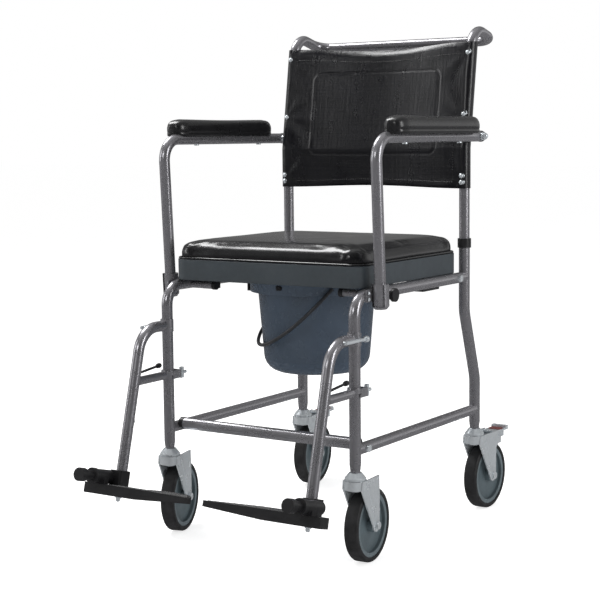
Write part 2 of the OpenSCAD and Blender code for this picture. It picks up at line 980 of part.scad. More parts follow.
// Hanger weldment: bent tube, upper saddle, brace and the clamp that holds the leg
module hanger(side) {
    color(frame_grey)
        on_side(side)
            difference() {
                union() {
                    hanger_run(hanger_d);
                    translate([track_x, front_y, hanger_z - 11])
                        leg_saddle(22, 2.5);
                    translate([track_x, front_y, clamp_z - 4])
                        leg_saddle(8, 3);
                    // Brace from the tube back to the clamp
                    rod_y([track_x, front_y - 88, clamp_z - 4], 15, 78);
                    // Clamp cheeks with the lever's guide behind the leg
                    for (x = [-1, 1])
                        block([track_x + (x < 0 ? -13.5 : 10.5), front_y - 2, latch_z - 6],
                              [track_x + (x < 0 ? -10.5 : 13.5), front_y + 20, clamp_z + 4]);
                    block([track_x - 13.5, front_y + 16, latch_z - 6],
                          [track_x + 13.5, front_y + 20, clamp_z + 4]);
                }
                translate([track_x, front_y, clamp_z - 40])
                    cylinder(r = leg_clear_r, h = 140);
                hanger_run(hanger_d - 2 * tube_wall);
                rod_y([track_x, front_y + 10, latch_z], 2 * (latch_r + running), 20);
            }
}

latch_r = 3;

// Hook rod that passes round the outside of the leg, with its nut
module hanger_hook(side) {
    hook_x = track_x + leg_clear_r + 6;
    color(zinc)
        on_side(side) {
            rod_y([hook_x, front_y - 54, hanger_z], 6, 67);
            rod_y([hook_x, front_y + 7, hanger_z], 11, 6);
            rod_x([track_x + hanger_d / 2 - 0.4, front_y - 48, hanger_z], 5,
                  hook_x - track_x - hanger_d / 2 + 0.4);
        }
}

// Quarter-turn latch: a rod with a cross bar behind the leg
module latch_lever(side) {
    color(zinc)
        on_side(side) {
            rod_y([track_x, front_y + 12, latch_z], 2 * latch_r, 38);
            rod_y([track_x, front_y + 20 + gap, latch_z], 11, 5);
            block([track_x - 2.6, front_y + 35, latch_z - 10],
                  [track_x + 2.6, front_y + 42, latch_z + 10]);
        }
}

// Places children at the lower end of the hanger tube, with +Y square to it and +Z down it
module at_elbow() {
    at_hanger_end()
        rotate([0, 0, 180])
            children();
}

// Elbow whose stem slides in the hanger tube; its nose carries the footplate hinge
module footplate_elbow(side) {
    stem_r = hanger_d / 2 - tube_wall - running;
    color(plastic_black)
        on_side(side)
            at_elbow()
                difference() {
                    union() {
                        translate([0, 0, -stem_len])
                            cylinder(r = stem_r, h = stem_len + 10);
                        translate([elbow_x, 0, gap])
                            linear_extrude(elbow_h)
                                round_rect(elbow_w, elbow_w, 5);
                        rod_y([barrel_x, 0, barrel_t], 2 * barrel_r, nose_n);
                    }
                    rod_y([barrel_x, 5, barrel_t], 2 * pin_r, nose_n);
                }
}

// Hinge pin with its neck and round end knob
module footplate_pin(side) {
    color(plastic_black)
        on_side(side)
            at_elbow() {
                rod_y([barrel_x, 5, barrel_t], 2 * pin_r, neck_n - 4);
                rod_y([barrel_x, ring_n + gap, barrel_t], 17, neck_n - ring_n - gap);
                rod_y([barrel_x, neck_n, barrel_t], 23, knob_len);
            }
}

// Tapered tread with a deep hinge end; its heel is cut away to clear the hanger when it flips up
module footplate(side) {
    tip = tread_start - track_x;
    heel = heel_end - track_x;
    end = tip + plate_w;
    toe_n = 40;
    strip_n = elbow_w / 2 + 0.8;
    taper = [[tip, tread_t + 1], [tip, tread_t + 11], [heel, tread_t + 18]];
    color(plastic_black)
        on_side(side)
            at_elbow()
                difference() {
                    union() {
                        translate([0, toe_n, 0])
                            rotate([90, 0, 0]) {
                                linear_extrude(toe_n - strip_n)
                                    polygon(concat(taper, [
                                        [end, tread_t + 18], [end, tread_t], [heel, tread_t]
                                    ]));
                                linear_extrude(plate_depth)
                                    polygon(concat(taper, [[heel, tread_t]]));
                            }
                        rod_y([barrel_x, nose_n + gap, barrel_t], 2 * barrel_r,
                              ring_n - nose_n - gap);
                        rod_y([barrel_x, ring_n - 8, barrel_t], 2 * barrel_r + 3, 8);
                        block([barrel_x - barrel_r, nose_n + gap, barrel_t],
                              [barrel_x + barrel_r, toe_n - 1, tread_t + 4]);
                    }
                    rod_y([barrel_x, nose_n, barrel_t], 2 * (pin_r + running), 60);
                    // Inner corner cut back so that the pair clear each other's heels
                    translate([0, 0, tread_t - 1])
                        linear_extrude(22)
                            polygon([
                                [tip - 1, toe_n - 3],
                                [tip + inner_cut, toe_n - plate_depth - 1],
                                [tip - 1, toe_n - plate_depth - 1]
                            ]);
                }
}

// ---------- parts ----------

placed() side_frame(-1);  // side_frame_left
placed() side_frame(1);  // side_frame_right
placed() cross_tube(cross_places[0]);  // front_cross_tube
placed() cross_tube(cross_places[1]);  // rear_cross_tube
placed() cross_tube_rings();
placed() cross_tube_bolts();
placed() back_frame();
placed() upright_collars();
placed() backrest_sling();
placed() backrest_screws();
placed() arm_sockets();
placed() socket_rivets();
placed() arm_pivot_bolts();
placed() castor_stems();
placed() seat_shell();
placed() seat_clips();
placed() pail_runners();
placed() seat_cushion();
placed() pail();
placed() pail_handle();
placed() arm_tube(-1);  // arm_tube_left
placed() arm_tube(1);  // arm_tube_right
placed() arm_pad(-1);  // arm_pad_left
placed() arm_pad(1);  // arm_pad_right
placed() arm_pad_screws(-1);  // arm_pad_screws_left
placed() arm_pad_screws(1);  // arm_pad_screws_right
placed() arm_end_cap(-1);  // arm_end_cap_left
placed() arm_end_cap(1);  // arm_end_cap_right
placed() arm_lock(-1);  // arm_lock_left
placed() arm_lock(1);  // arm_lock_right
placed() castor_fork(0, false);  // castor_fork_front_left
placed() castor_fork(1, false);  // castor_fork_front_right
placed() castor_fork(2, true);  // castor_fork_rear_left
placed() castor_fork(3, true);  // castor_fork_rear_right
placed() castor_axle(0);  // castor_axle_front_left
placed() castor_axle(1);  // castor_axle_front_right
placed() castor_axle(2);  // castor_axle_rear_left
placed() castor_axle(3);  // castor_axle_rear_right
placed() castor_hub(0);  // castor_hub_front_left
placed() castor_hub(1);  // castor_hub_front_right
placed() castor_hub(2);  // castor_hub_rear_left
placed() castor_hub(3);  // castor_hub_rear_right
placed() castor_tyre(0);  // castor_tyre_front_left
placed() castor_tyre(1);  // castor_tyre_front_right
placed() castor_tyre(2);  // castor_tyre_rear_left
placed() castor_tyre(3);  // castor_tyre_rear_right
placed() brake_pedal(2);  // brake_pedal_left
placed() brake_pedal(3);  // brake_pedal_right
placed() hanger(-1);  // hanger_left
placed() hanger(1);  // hanger_right
placed() hanger_hook(-1);  // hanger_hook_left
placed() hanger_hook(1);  // hanger_hook_right
placed() latch_lever(-1);  // latch_lever_left
placed() latch_lever(1);  // latch_lever_right
placed() footplate_elbow(-1);  // footplate_elbow_left
placed() footplate_elbow(1);  // footplate_elbow_right
placed() footplate_pin(-1);  // footplate_pin_left
placed() footplate_pin(1);  // footplate_pin_right
placed() footplate(-1);  // footplate_left
placed() footplate(1);  // footplate_right
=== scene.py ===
"""Looks of the wheeled commode chair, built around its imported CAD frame. Lengths are in metres."""

import json
import math

import bmesh
import bpy
from mathutils import Matrix, Vector, noise


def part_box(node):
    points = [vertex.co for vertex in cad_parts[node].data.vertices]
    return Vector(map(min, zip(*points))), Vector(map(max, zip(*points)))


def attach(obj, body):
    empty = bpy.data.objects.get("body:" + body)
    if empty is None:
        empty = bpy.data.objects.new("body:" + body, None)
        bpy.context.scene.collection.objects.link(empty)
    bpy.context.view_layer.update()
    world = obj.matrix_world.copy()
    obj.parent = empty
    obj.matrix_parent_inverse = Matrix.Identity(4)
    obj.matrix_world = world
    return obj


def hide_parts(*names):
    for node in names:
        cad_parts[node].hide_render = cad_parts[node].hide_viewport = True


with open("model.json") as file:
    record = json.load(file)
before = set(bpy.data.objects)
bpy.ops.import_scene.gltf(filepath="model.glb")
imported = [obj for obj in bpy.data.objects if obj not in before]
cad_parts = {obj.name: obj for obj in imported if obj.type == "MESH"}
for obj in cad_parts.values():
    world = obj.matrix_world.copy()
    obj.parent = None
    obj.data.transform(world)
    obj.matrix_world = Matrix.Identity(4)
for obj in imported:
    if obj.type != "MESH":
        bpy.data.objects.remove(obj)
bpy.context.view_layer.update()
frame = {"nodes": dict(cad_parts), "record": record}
NODES = frame["nodes"]

# ---------- stations taken over from the CAD, in the shipped frame ----------

CENTRE_Y = 0.0608         # shift that centres the envelope over the origin
TRACK_X = 0.195           # frame tubes from the centre line
UPRIGHT_Y = 0.1765 + CENTRE_Y
LEAN_START_Z = 0.684
LEAN_BEND_R = 0.120
LEAN = math.radians(8.5)
ARM_X = 0.2196
ARM_Z = 0.714
ARM_TUBE_R = 0.0097
HANGER_LEAN = math.radians(14.5)
SLING_SCREWS = (0.630, 0.642, 0.755, 0.868)
CAMERA_AZIMUTH = math.radians(33.229)
SIDES = (("left", -1), ("right", 1))
CORNERS = {
    "front_left": (-TRACK_X, -0.220 + CENTRE_Y, 15),
    "front_right": (TRACK_X, -0.220 + CENTRE_Y, 4),
    "rear_left": (-TRACK_X, 0.220 + CENTRE_Y, 5),
    "rear_right": (TRACK_X, 0.220 + CENTRE_Y, -2),
}


# ---------- materials ----------

class Mat:
    """A node material built up step by step around one Principled shader."""

    def __init__(self, name, color, rough, metallic=0.0, coat=0.0, coat_rough=0.1, spec=0.5):
        self.mat = bpy.data.materials.new(name)
        self.mat.use_nodes = True
        self.tree = self.mat.node_tree
        self.bsdf = self.tree.nodes["Principled BSDF"]
        self.color = color
        self.rough = rough
        self.set("Base Color", (*color, 1))
        self.set("Roughness", rough)
        self.set("Metallic", metallic)
        self.set("Coat Weight", coat)
        self.set("Coat Roughness", coat_rough)
        self.set("Specular IOR Level", spec)
        coords = self.tree.nodes.new("ShaderNodeTexCoord")
        self.coords = coords.outputs["Object"]
        self.normal = None
        self.mat.diffuse_color = (*color, 1)

    def set(self, socket, value):
        self.bsdf.inputs[socket].default_value = value

    def link(self, a, b):
        self.tree.links.new(a, b)

    def node(self, kind, **inputs):
        n = self.tree.nodes.new(kind)
        for key, value in inputs.items():
            n.inputs[key.replace("_", " ")].default_value = value
        return n

    def stretched(self, scale):
        m = self.tree.nodes.new("ShaderNodeMapping")
        m.inputs["Scale"].default_value = scale
        self.link(self.coords, m.inputs["Vector"])
        return m.outputs["Vector"]

    def noise(self, scale, detail=4.0, rough=0.5, stretch=None):
        n = self.node("ShaderNodeTexNoise", Scale=scale, Detail=detail, Roughness=rough)
        self.link(self.stretched(stretch) if stretch else self.coords, n.inputs["Vector"])
        return n.outputs["Fac"]

    def cells(self, scale, feature="DISTANCE_TO_EDGE", stretch=None):
        n = self.node("ShaderNodeTexVoronoi", Scale=scale)
        n.feature = feature
        self.link(self.stretched(stretch) if stretch else self.coords, n.inputs["Vector"])
        return n.outputs["Distance"]

    def ramp(self, value, stops):
        r = self.tree.nodes.new("ShaderNodeValToRGB")
        r.color_ramp.elements[0].position = stops[0][0]
        r.color_ramp.elements[1].position = stops[-1][0]
        for pos, _ in stops[1:-1]:
            r.color_ramp.elements.new(pos)
        for el, (_, c) in zip(r.color_ramp.elements, stops):
            el.color = c if len(c) == 4 else (*c, 1)
        self.link(value, r.inputs["Fac"])
        return r.outputs["Color"]

    def span(self, value, low, high, from_low=0.0, from_high=1.0):
        m = self.tree.nodes.new("ShaderNodeMapRange")
        for key, v in (("From Min", from_low), ("From Max", from_high), ("To Min", low), ("To Max", high)):
            m.inputs[key].default_value = v
        self.link(value, m.inputs["Value"])
        return m.outputs["Result"]

    def tint(self, value, dark, light, from_low=0.3, from_high=0.7):
        """Varies the base colour between two multiples of itself."""
        a = tuple(min(1, c * dark) for c in self.color)
        b = tuple(min(1, c * light) for c in self.color)
        self.link(self.ramp(value, [(from_low, a), (from_high, b)]), self.bsdf.inputs["Base Color"])
        return self

    def rough_from(self, value, low, high, from_low=0.3, from_high=0.7):
        self.link(self.span(value, low, high, from_low, from_high), self.bsdf.inputs["Roughness"])
        return self

    def bump(self, value, distance, strength=1.0):
        b = self.node("ShaderNodeBump", Strength=strength, Distance=distance)
        self.link(value, b.inputs["Height"])
        if self.normal:
            self.link(self.normal, b.inputs["Normal"])
        self.normal = b.outputs["Normal"]
        self.link(self.normal, self.bsdf.inputs["Normal"])
        return self

    def soft_edges(self, radius):
        """Rounds sharp CAD edges in the shading."""
        e = self.tree.nodes.new("ShaderNodeBevel")
        e.samples = 6
        e.inputs["Radius"].default_value = radius
        self.normal = e.outputs["Normal"]
        self.link(self.normal, self.bsdf.inputs["Normal"])
        return self

    def worn_edges(self, color, amount=0.5):
        """Lightens the tightest convex edges, broken up by noise."""
        geo = self.tree.nodes.new("ShaderNodeNewGeometry")
        edge = self.span(geo.outputs["Pointiness"], 0, amount, 0.53, 0.62)
        mix = self.tree.nodes.new("ShaderNodeMix")
        mix.data_type = "RGBA"
        mix.inputs["B"].default_value = (*color, 1)
        base = self.bsdf.inputs["Base Color"]
        if base.links:
            self.link(base.links[0].from_socket, mix.inputs["A"])
        else:
            mix.inputs["A"].default_value = base.default_value
        scuff = self.node("ShaderNodeMath")
        scuff.operation = "MULTIPLY"
        self.link(edge, scuff.inputs[0])
        self.link(self.noise(140, 3), scuff.inputs[1])
        self.link(scuff.outputs[0], mix.inputs["Factor"])
        self.link(mix.outputs["Result"], base)
        return self


def powder_coat():
    """Silver-grey metallic powder coat: fine flake, orange-peel skin, faint handling marks."""
    m = Mat("silver_powder_coat", (0.31, 0.305, 0.325), 0.27, metallic=0.75, coat=0.45, coat_rough=0.14)
    m.soft_edges(0.0004)
    flake = m.noise(2600, 2, 0.7)
    m.tint(flake, 0.95, 1.05, 0.35, 0.65)
    m.rough_from(m.noise(38, 4), 0.23, 0.32)
    m.bump(m.noise(500, 2), 0.00001, 0.12)
    m.worn_edges((0.48, 0.48, 0.5), 0.35)
    return m.mat


def zinc():
    """Bright zinc plate with the faint crystal mottling of pressed steel."""
    m = Mat("bright_zinc_plate", (0.62, 0.66, 0.69), 0.24, metallic=0.55)
    m.soft_edges(0.0004)
    m.tint(m.cells(260, "F1"), 0.95, 1.04, 0.1, 0.8)
    m.rough_from(m.noise(40, 4), 0.2, 0.3)
    m.bump(m.noise(420, 3), 0.00002)
    m.bump(m.noise(60, 3, stretch=(1, 1, 6)), 0.00006, 0.4)
    m.worn_edges((0.8, 0.8, 0.8), 0.3)
    return m.mat


def moulded(name, color, rough, grain=1500, depth=0.00003, edge=0.0012, spec=0.5):
    """Moulded plastic: spark-eroded texture, slight colour drift and rubbed edges."""
    m = Mat(name, color, rough, spec=spec)
    m.soft_edges(edge)
    m.tint(m.noise(14, 5), 0.88, 1.12)
    m.rough_from(m.noise(45, 4), rough * 0.82, rough * 1.18)
    m.bump(m.noise(grain, 2, 0.6), depth)
    m.bump(m.noise(18, 3), 0.0006, 0.25)
    m.worn_edges(tuple(min(1, c * 1.6 + 0.015) for c in color), 0.4)
    return m.mat


def vinyl(name, color, rough, grain, depth, coat):
    """Vinyl-coated cloth: pebbled leather grain under a shiny skin."""
    m = Mat(name, color, rough, coat=coat, coat_rough=0.16, spec=0.4)
    pebble = m.cells(grain)
    m.tint(m.noise(30, 4), 0.8, 1.25)
    m.rough_from(m.noise(24, 4), rough * 0.85, rough * 1.2)
    m.bump(m.span(pebble, 0, 1, 0, 0.35), depth, 0.45)
    m.bump(m.noise(grain * 0.4, 3), depth * 0.5, 0.3)
    m.set("Sheen Weight", 0.04)
    return m.mat


def sling_vinyl():
    """Glossy sling vinyl with an embossed cloth print of fine upright and level ribs."""
    m = Mat("sling_vinyl", (0.004, 0.004, 0.006), 0.25, coat=0.3, coat_rough=0.14, spec=0.4)
    m.tint(m.noise(9, 5, stretch=(1, 1, 2.5)), 0.75, 1.35)
    m.rough_from(m.noise(16, 4, stretch=(2, 2, 1)), 0.24, 0.38)
    upright = m.noise(62, 3, 0.6, stretch=(3.2, 1, 0.12))
    level = m.noise(62, 3, 0.6, stretch=(0.12, 1, 3.2))
    m.bump(upright, 0.0009, 0.7)
    m.bump(level, 0.0007, 0.6)
    m.bump(m.span(m.cells(850), 0, 1, 0, 0.35), 0.00009, 0.7)
    return m.mat


def rubber():
    """Castor tread: dull black, dusted towards the tread."""
    m = Mat("tyre_rubber", (0.014, 0.014, 0.015), 0.5, spec=0.4)
    m.tint(m.noise(70, 5), 0.7, 1.5)
    m.rough_from(m.noise(110, 4), 0.42, 0.68)
    m.bump(m.noise(900, 3), 0.0001, 0.8)
    m.worn_edges((0.05, 0.05, 0.05), 0.4)
    return m.mat


def hub_plastic():
    """Grey-blue wheel centre with a satin moulded skin."""
    m = Mat("hub_plastic", (0.085, 0.112, 0.125), 0.42)
    m.soft_edges(0.0012)
    m.tint(m.noise(40, 5), 0.88, 1.12)
    m.rough_from(m.noise(60, 4), 0.34, 0.5)
    m.bump(m.noise(1300, 2), 0.00006)
    m.worn_edges((0.28, 0.32, 0.34), 0.4)
    return m.mat


def floor_paint():
    """White studio floor: partly self-lit so that it stays pale far from the lights, dim in reflections."""
    m = Mat("studio_floor", (0.8, 0.8, 0.8), 0.8, spec=0.1)
    m.tint(m.noise(3, 3), 0.99, 1.01)
    m.set("Emission Color", (1, 1, 1, 1))
    m.set("Emission Strength", 0.71)
    dim = m.node("ShaderNodeEmission", Color=(0.17, 0.17, 0.175, 1), Strength=1.0)
    path = m.tree.nodes.new("ShaderNodeLightPath")
    mix = m.tree.nodes.new("ShaderNodeMixShader")
    m.link(path.outputs["Is Glossy Ray"], mix.inputs["Fac"])
    m.link(m.bsdf.outputs[0], mix.inputs[1])
    m.link(dim.outputs[0], mix.inputs[2])
    m.link(mix.outputs[0], m.tree.nodes["Material Output"].inputs["Surface"])
    return m.mat


MATS = {
    "frame": powder_coat(),
    "zinc": zinc(),
    "black": moulded("black_plastic", (0.010, 0.010, 0.011), 0.38, spec=0.4),
    "shell": moulded("slate_shell", (0.034, 0.043, 0.050), 0.42, grain=1100, edge=0.003),
    "pail": moulded("pail_plastic", (0.046, 0.064, 0.090), 0.26, grain=700, depth=0.00001,
                    edge=0.0016),
    "bail": moulded("bail_plastic", (0.022, 0.023, 0.026), 0.34, grain=900, depth=0.00002),
    "rubber": rubber(),
    "hub": hub_plastic(),
    "cushion": vinyl("cushion_vinyl", (0.005, 0.005, 0.006), 0.22, 1500, 0.00003, 0.35),
    "sling": sling_vinyl(),
    "pad": vinyl("arm_pad_skin", (0.008, 0.008, 0.009), 0.28, 1100, 0.00006, 0.35),
    "red": moulded("brake_insert_plastic", (0.16, 0.03, 0.025), 0.45),
}
SLOT_MATS = {
    "frame_tube": "frame", "zinc_steel": "zinc", "black_plastic": "black", "shell_plastic": "shell",
    "pail_plastic": "pail", "tyre_rubber": "rubber", "hub_plastic": "hub",
    "cushion_vinyl": "cushion", "backrest_vinyl": "sling", "arm_pad": "pad",
}

NODE_MATS = {"pail_handle": "bail"}


def paint_cad_nodes():
    """Gives every CAD node its material, by slot unless it has its own, and smooth shading."""
    for entry in frame["record"]["subparts"]:
        obj = NODES[entry["node"]]
        name = NODE_MATS.get(entry["node"], SLOT_MATS[entry["material_slot"]])
        obj.data.materials.clear()
        obj.data.materials.append(MATS[name])
        smooth(obj, 28)


# ---------- mesh helpers ----------

def smooth(obj, degrees=35):
    obj.data.polygons.foreach_set("use_smooth", [True] * len(obj.data.polygons))
    obj.data.set_sharp_from_angle(angle=math.radians(degrees))


def piece(name, verts, faces, mat, body, sharp=35):
    """Makes a mesh object that rides on a body."""
    mesh = bpy.data.meshes.new(name)
    mesh.from_pydata([tuple(v) for v in verts], [], faces)
    mesh.validate()
    mesh.update()
    obj = bpy.data.objects.new(name, mesh)
    bpy.context.scene.collection.objects.link(obj)
    mesh.materials.append(MATS[mat])
    smooth(obj, sharp)
    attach(obj, body)
    return obj


def apply_modifiers(obj):
    """Bakes the modifiers of an object into its own mesh."""
    bpy.context.view_layer.update()
    deps = bpy.context.evaluated_depsgraph_get()
    baked = bpy.data.meshes.new_from_object(obj.evaluated_get(deps))
    obj.modifiers.clear()
    old = obj.data
    obj.data = baked
    bpy.data.meshes.remove(old)


def add_modifier(obj, kind, **values):
    mod = obj.modifiers.new(kind.lower(), kind)
    for key, value in values.items():
        setattr(mod, key, value)
    return mod


def ring_faces(rings, count, cap_low=True, cap_high=True):
    """Quads between successive closed rings, with optional end caps."""
    faces = []
    for i in range(rings - 1):
        for j in range(count):
            k = (j + 1) % count
            faces.append((i * count + j, i * count + k, (i + 1) * count + k, (i + 1) * count + j))
    if cap_low:
        faces.append(tuple(reversed(range(count))))
    if cap_high:
        faces.append(tuple(range((rings - 1) * count, rings * count)))
    return faces


def turned(profile, origin, axis, count=40):
    """Verts and faces of a solid of revolution: profile is [(distance along axis, radius)]."""
    axis = Vector(axis).normalized()
    side = axis.orthogonal().normalized()
    other = axis.cross(side)
    verts = []
    for along, radius in profile:
        for j in range(count):
            t = 2 * math.pi * j / count
            spoke = side * math.cos(t) + other * math.sin(t)
            verts.append(Vector(origin) + axis * along + spoke * radius)
    return verts, ring_faces(len(profile), count)


def merge(parts):
    """Joins (verts, faces) lists into one."""
    verts, faces = [], []
    for v, f in parts:
        base = len(verts)
        verts += v
        faces += [tuple(i + base for i in face) for face in f]
    return verts, faces


def rounded_ring(half_w, half_l, radius, per_corner=10, per_side=14):
    """Points of a rounded rectangle, counter-clockwise from the +X side."""
    pts = []
    corners = ((1, 1, 0), (-1, 1, 90), (-1, -1, 180), (1, -1, 270))
    for n, (sx, sy, start) in enumerate(corners):
        cx, cy = sx * (half_w - radius), sy * (half_l - radius)
        for k in range(per_corner + 1):
            t = math.radians(start + 90 * k / per_corner)
            pts.append((cx + radius * math.cos(t), cy + radius * math.sin(t)))
        sx2, sy2, start2 = corners[(n + 1) % 4]
        a = pts[-1]
        t = math.radians(start2)
        b = (sx2 * (half_w - radius) + radius * math.cos(t), sy2 * (half_l - radius) + radius * math.sin(t))
        for k in range(1, per_side):
            f = k / per_side
            pts.append((a[0] + (b[0] - a[0]) * f, a[1] + (b[1] - a[1]) * f))
    return pts


# ---------- seat cushion ----------

def padded_block(name, centre, half_w, half_l, base, height, corner_r, edge_r, crown, mat):
    """Closed padded form: flat base, upright sides, rounded top edge and a crowned top."""
    cx, cy = centre
    verts, rings = [], []

    def add_ring(inset, z):
        ring = rounded_ring(half_w - inset, half_l - inset, max(0.004, corner_r - inset))
        rings.append([(cx + x, cy + y, z) for x, y in ring])

    for inset in (0.10, 0.05, 0.0035):
        add_ring(inset, base)
    add_ring(0.0, base + 0.0035)
    add_ring(0.0, base + (height - edge_r) * 0.6)
    steps = 7
    for k in range(steps + 1):
        t = math.radians(90 * k / steps)
        add_ring(edge_r * (1 - math.cos(t)), base + height - edge_r + edge_r * math.sin(t))
    for inset in (edge_r + 0.02, edge_r + 0.045, edge_r + 0.075, edge_r + 0.11):
        f = min(1.0, (inset - edge_r) / 0.11)
        add_ring(inset, base + height + crown * math.sin(f * math.pi / 2))
    for ring in rings:
        verts += ring
    faces = ring_faces(len(rings), len(rings[0]))
    mesh = bpy.data.meshes.new(name)
    mesh.from_pydata(verts, [], faces)
    mesh.update()
    obj = bpy.data.objects.new(name, mesh)
    bpy.context.scene.collection.objects.link(obj)
    mesh.materials.append(MATS[mat])
    return obj


def inflate(obj, voxel, pressure, cap, floor_z):
    """Swells a padded form as cloth under pressure, limited to cap, and never below its seat."""
    add_modifier(obj, "REMESH", mode="VOXEL", voxel_size=voxel)
    apply_modifiers(obj)
    start = [v.co.copy() for v in obj.data.vertices]
    group = obj.vertex_groups.new(name="pin")
    group.add([v.index for v in obj.data.vertices if v.co.z < floor_z + 0.004], 1.0, "REPLACE")
    cloth = add_modifier(obj, "CLOTH")
    cloth.settings.quality = 5
    cloth.settings.mass = 0.3
    cloth.settings.tension_stiffness = 15
    cloth.settings.compression_stiffness = 15
    cloth.settings.shear_stiffness = 5
    cloth.settings.bending_stiffness = 0.5
    cloth.settings.use_pressure = True
    cloth.settings.uniform_pressure_force = pressure
    cloth.settings.effector_weights.gravity = 0
    cloth.settings.vertex_group_mass = "pin"
    scene = bpy.context.scene
    scene.frame_start, scene.frame_end = 1, 20
    for f in range(1, 21):
        scene.frame_set(f)
    apply_modifiers(obj)
    scene.frame_set(1)
    for v, s in zip(obj.data.vertices, start):
        move = v.co - s
        if move.length > 1e-6:
            v.co = s + move.normalized() * cap * math.tanh(move.length / cap)
        v.co.z = max(v.co.z, floor_z)
    add_modifier(obj, "SUBSURF", levels=1, render_levels=1)
    apply_modifiers(obj)


def seat_cushion():
    """Foam pad under glossy vinyl, welted down on the shell."""
    low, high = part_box("seat_cushion")
    cx, cy = (low.x + high.x) / 2, (low.y + high.y) / 2
    half_w, half_l = (high.x - low.x) / 2, (high.y - low.y) / 2
    height = high.z - low.z
    obj = padded_block("seat_cushion_pad", (cx, cy), half_w - 0.003, half_l - 0.003, low.z,
                       height - 0.0042, 0.028, 0.0150, 0.0030, "cushion")
    inflate(obj, 0.0045, 2.0, 0.0042, low.z)
    smooth(obj, 60)
    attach(obj, "cushion")
    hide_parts("seat_cushion")
    cushion_welt(cx, cy, half_w, half_l, low.z)


def cushion_welt(cx, cy, half_w, half_l, base):
    """Piped welt that runs round the cushion's lower edge."""
    radius, count = 0.0017, 10
    inset = 0.0008
    ring = rounded_ring(half_w - inset, half_l - inset, 0.028)
    total = len(ring)
    verts, faces = [], []
    for i, (x, y) in enumerate(ring):
        nx, ny = ring[(i + 1) % total]
        px, py = ring[i - 1]
        along = Vector((nx - px, ny - py, 0)).normalized()
        out = Vector((along.y, -along.x, 0))
        centre = Vector((cx + x, cy + y, base + 0.0022))
        for k in range(count):
            t = 2 * math.pi * k / count
            verts.append(centre + out * radius * math.cos(t) + Vector((0, 0, radius * math.sin(t))))
            a, b = i * count + k, i * count + (k + 1) % count
            c, d = ((i + 1) % total) * count + (k + 1) % count, ((i + 1) % total) * count + k
            faces.append((a, d, c, b))
    piece("seat_cushion_welt", verts, faces, "cushion", "cushion")


# ---------- backrest sling ----------

def lean_y(z):
    """Axis of the back tubes at height z."""
    rise = LEAN_BEND_R * math.sin(LEAN)
    start = LEAN_START_Z + rise / 2
    return UPRIGHT_Y + (0 if z < start else (z - start) * math.tan(LEAN))


def rect_distance(x, z, half_w, z_low, z_high, radius):
    """Signed distance from the outline of an upright rounded rectangle."""
    qx = abs(x) - (half_w - radius)
    qz = abs(z - (z_low + z_high) / 2) - ((z_high - z_low) / 2 - radius)
    outside = math.hypot(max(qx, 0), max(qz, 0))
    return outside + min(max(qx, qz), 0) - radius


def bell(x, width):
    return math.exp(-(x / width) ** 2)


def sling_depth(x, z, f):
    """How far the sheet lies behind the front tangent of the tubes. f runs 0 to 1 up the sling."""
    u = min(1, abs(x) / TRACK_X)
    hollow = 0.5 + 0.5 * math.cos(math.pi * u)
    sag = (0.015 + 0.008 * f) * hollow ** 0.85
    panel = rect_distance(x, z, 0.137, 0.683, 0.838, 0.014)
    weld = 0.0013 * bell(panel, 0.0016)
    raised = -0.0006 * (1 / (1 + math.exp(panel / 0.0012)))
    # Tension folds that run in from the fixing screws
    folds = 0
    for sx in (-1, 1):
        for zs in (0.636, 0.755, 0.868):
            dx, dz = (x - sx * TRACK_X) * -sx, z - zs
            reach = math.hypot(dx, dz)
            angle = math.atan2(dz, max(dx, 1e-4))
            fade = bell(reach - 0.035, 0.04) * min(1, reach / 0.03)
            folds += 0.0006 * math.sin(angle * 7 + zs * 90) * fade
    ripple = 0.0006 * noise.noise(Vector((x * 7, z * 16, 3.1))) * hollow
    ripple += 0.00012 * noise.noise(Vector((x * 60, z * 40, 7.7)))
    return sag + weld + raised + folds + ripple


def backrest_sling():
    """Sheet slung between two sleeves that wrap the back tubes, with rolled hems."""
    low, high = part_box("backrest_sling")
    z_low, z_high = low.z + 0.0005, high.z - 0.0005
    front = 0.0139
    wrap_x, wrap_back = 0.0112, 0.0118
    columns, rows, wrap_steps = 150, 116, 16
    verts, faces = [], []
    per_row = 0
    for r in range(rows + 1):
        f = r / rows
        row = []
        for c in range(columns + 1):
            x = -TRACK_X + 2 * TRACK_X * c / columns
            hollow = 0.5 + 0.5 * math.cos(math.pi * abs(x) / TRACK_X)
            top = z_high - 0.0085 * hollow
            bottom = z_low + 0.004 * hollow
            z = bottom + (top - bottom) * f
            y = lean_y(z) - front + sling_depth(x, z, f)
            # The rolled top hem curls back, the lower one a little
            up = max(0.0, 1 - (top - z) / 0.013)
            down = max(0.0, 1 - (z - bottom) / 0.008)
            y += 0.0075 * up ** 2 * (0.35 + 0.65 * hollow) + 0.002 * down ** 2
            row.append((x, y, z))
        left, right = [], []
        z = z_low + (z_high - z_low) * f
        for k in range(1, wrap_steps + 1):
            t = math.radians(-90 - 235 * k / wrap_steps)
            depth = front if math.sin(t) < 0 else wrap_back
            dx, dy = wrap_x * math.cos(t), depth * math.sin(t)
            left.append((-TRACK_X + dx, lean_y(z) + dy, z))
            right.append((TRACK_X - dx, lean_y(z) + dy, z))
        full = list(reversed(left)) + row + right
        per_row = len(full)
        verts += full
    for r in range(rows):
        for c in range(per_row - 1):
            a = r * per_row + c
            faces.append((a, a + 1, a + 1 + per_row, a + per_row))
    obj = piece("backrest_sling_sheet", verts, faces, "sling", "frame", 50)
    add_modifier(obj, "SOLIDIFY", thickness=0.0016, offset=-1.0)
    apply_modifiers(obj)
    smooth(obj, 50)
    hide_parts("backrest_sling")
    hems(z_low, z_high, front)


